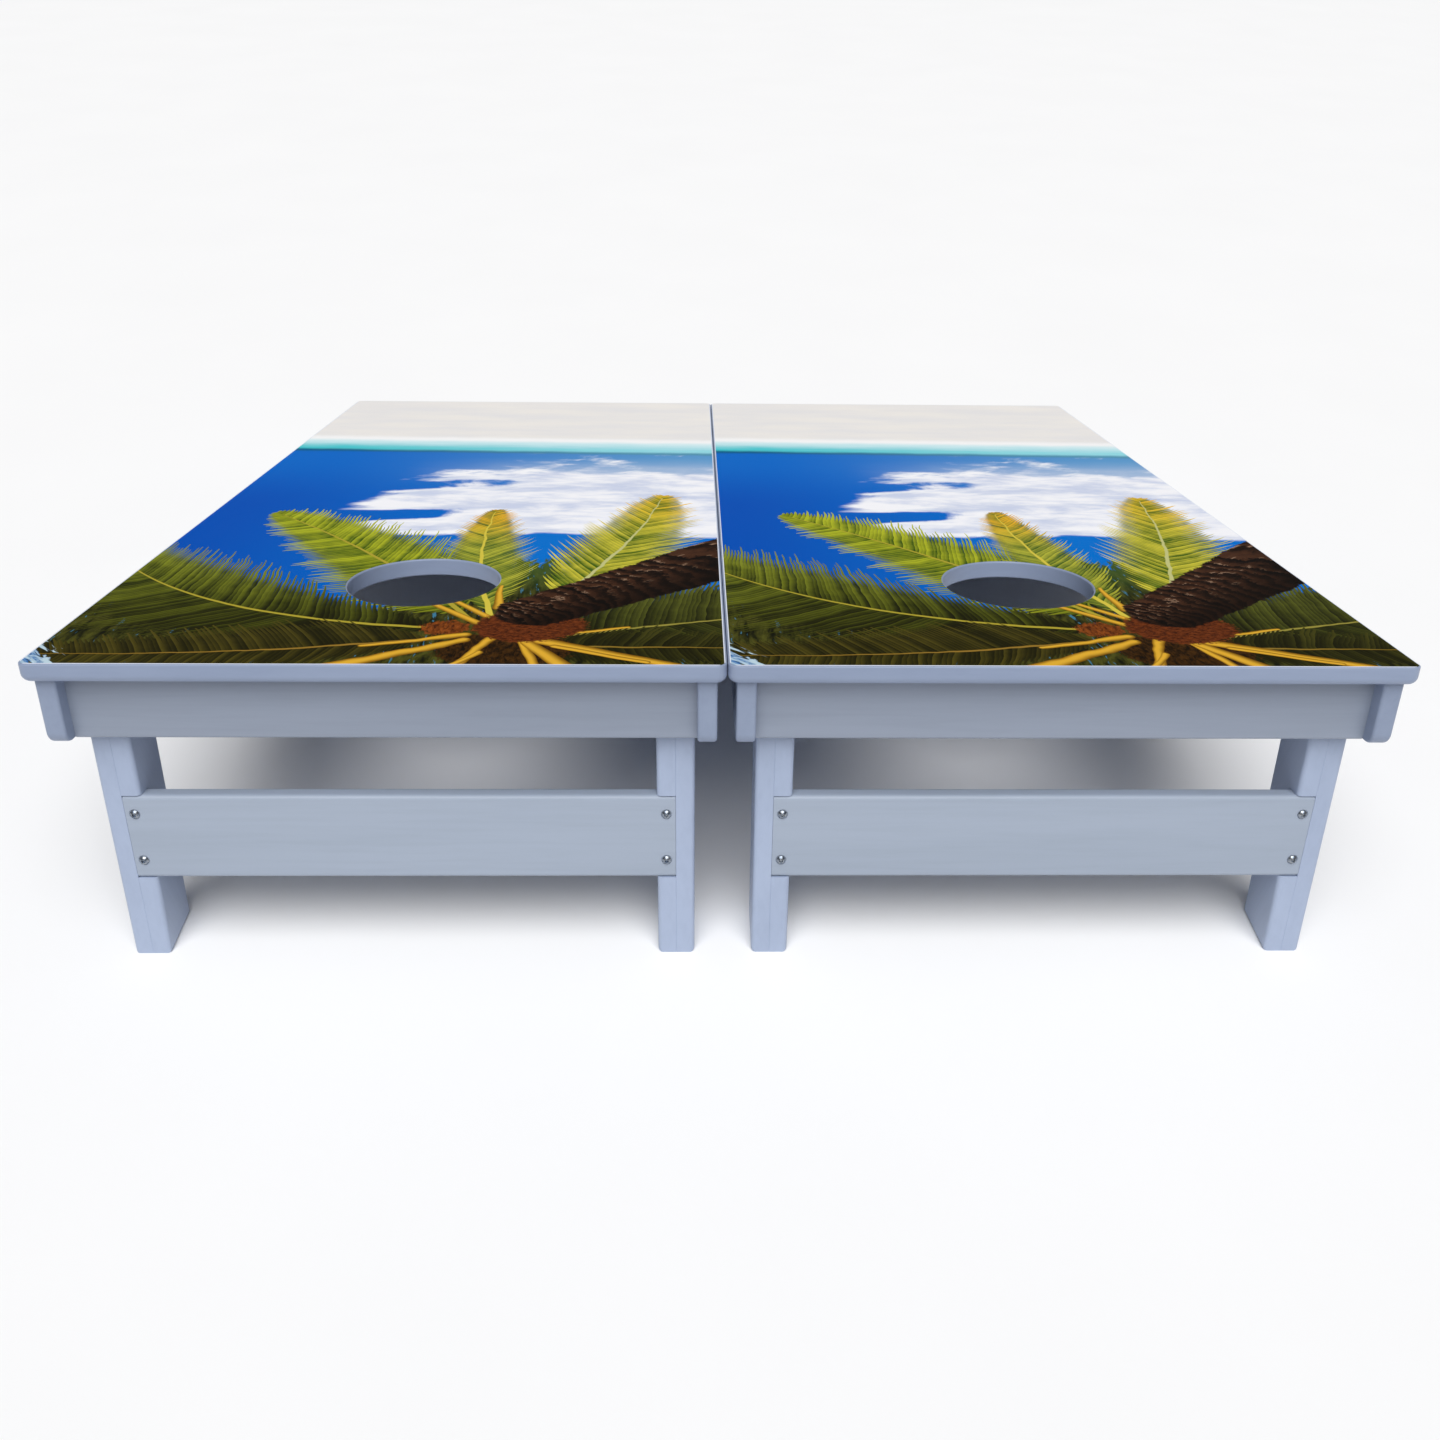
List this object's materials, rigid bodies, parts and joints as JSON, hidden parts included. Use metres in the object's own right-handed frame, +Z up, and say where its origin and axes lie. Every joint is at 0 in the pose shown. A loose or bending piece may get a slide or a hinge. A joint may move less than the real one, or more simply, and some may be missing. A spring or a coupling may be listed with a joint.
{
  "type": "bag toss board pair",
  "caption": "Tilted bag toss boards with a round bag hole near the raised end, a printed deck on a shallow rail frame, and a bolted leg frame that folds flat under each deck.",
  "frame": {"origin": "on the ground, in the middle of the box round both boards", "axes": "+X from board 1 to board 2, +Y from the raised rear to the low front, +Z up"},
  "size_m": [1.2204, 1.2176, 0.328],
  "materials": {
    "painted_deck": "satin pale blue-grey paint",
    "painted_frame": "satin pale blue-grey paint over straight grain",
    "printed_film": "satin clear coat over a printed beach and palm scene",
    "zinc_steel": "bright zinc plate"
  },
  "bodies": {
    "board1": {"board1_deck": "painted_deck", "board1_print_film": "printed_film", "board1_left_rail": "painted_frame", "board1_right_rail": "painted_frame", "board1_rear_rail": "painted_frame", "board1_front_rail": "painted_frame", "board1_cross_brace": "painted_frame", "board1_rail_screws": "zinc_steel", "board1_pocket_screws": "zinc_steel", "board1_pivot_bolts": "zinc_steel", "board1_spacer_washers": "zinc_steel", "board1_leg_washers": "zinc_steel", "board1_lock_nuts": "zinc_steel"},
    "board1_leg_frame": {"board1_left_leg_outer_ply": "painted_frame", "board1_left_leg_inner_ply": "painted_frame", "board1_right_leg_outer_ply": "painted_frame", "board1_right_leg_inner_ply": "painted_frame", "board1_stretcher": "painted_frame", "board1_stretcher_screws": "zinc_steel"},
    "board2": {"board2_deck": "painted_deck", "board2_print_film": "printed_film", "board2_left_rail": "painted_frame", "board2_right_rail": "painted_frame", "board2_rear_rail": "painted_frame", "board2_front_rail": "painted_frame", "board2_cross_brace": "painted_frame", "board2_rail_screws": "zinc_steel", "board2_pocket_screws": "zinc_steel", "board2_pivot_bolts": "zinc_steel", "board2_spacer_washers": "zinc_steel", "board2_leg_washers": "zinc_steel", "board2_lock_nuts": "zinc_steel"},
    "board2_leg_frame": {"board2_left_leg_outer_ply": "painted_frame", "board2_left_leg_inner_ply": "painted_frame", "board2_right_leg_outer_ply": "painted_frame", "board2_right_leg_inner_ply": "painted_frame", "board2_stretcher": "painted_frame", "board2_stretcher_screws": "zinc_steel"}
  },
  "joints": [
    {"name": "board1_legs_fold", "type": "hinge", "parent": "board1", "child": "board1_leg_frame", "pos_m": [-0.30525, -0.52369, 0.26443], "axis": [1, 0, 0], "range_deg": [0, 90]},
    {"name": "board2_legs_fold", "type": "hinge", "parent": "board2", "child": "board2_leg_frame", "pos_m": [0.30525, -0.52369, 0.26443], "axis": [1, 0, 0], "range_deg": [0, 90]},
    {"name": "board2_slide", "type": "slide", "parent": "board1", "child": "board2", "axis": [1, 0, 0], "range_m": [0, 0.6]}
  ]
}
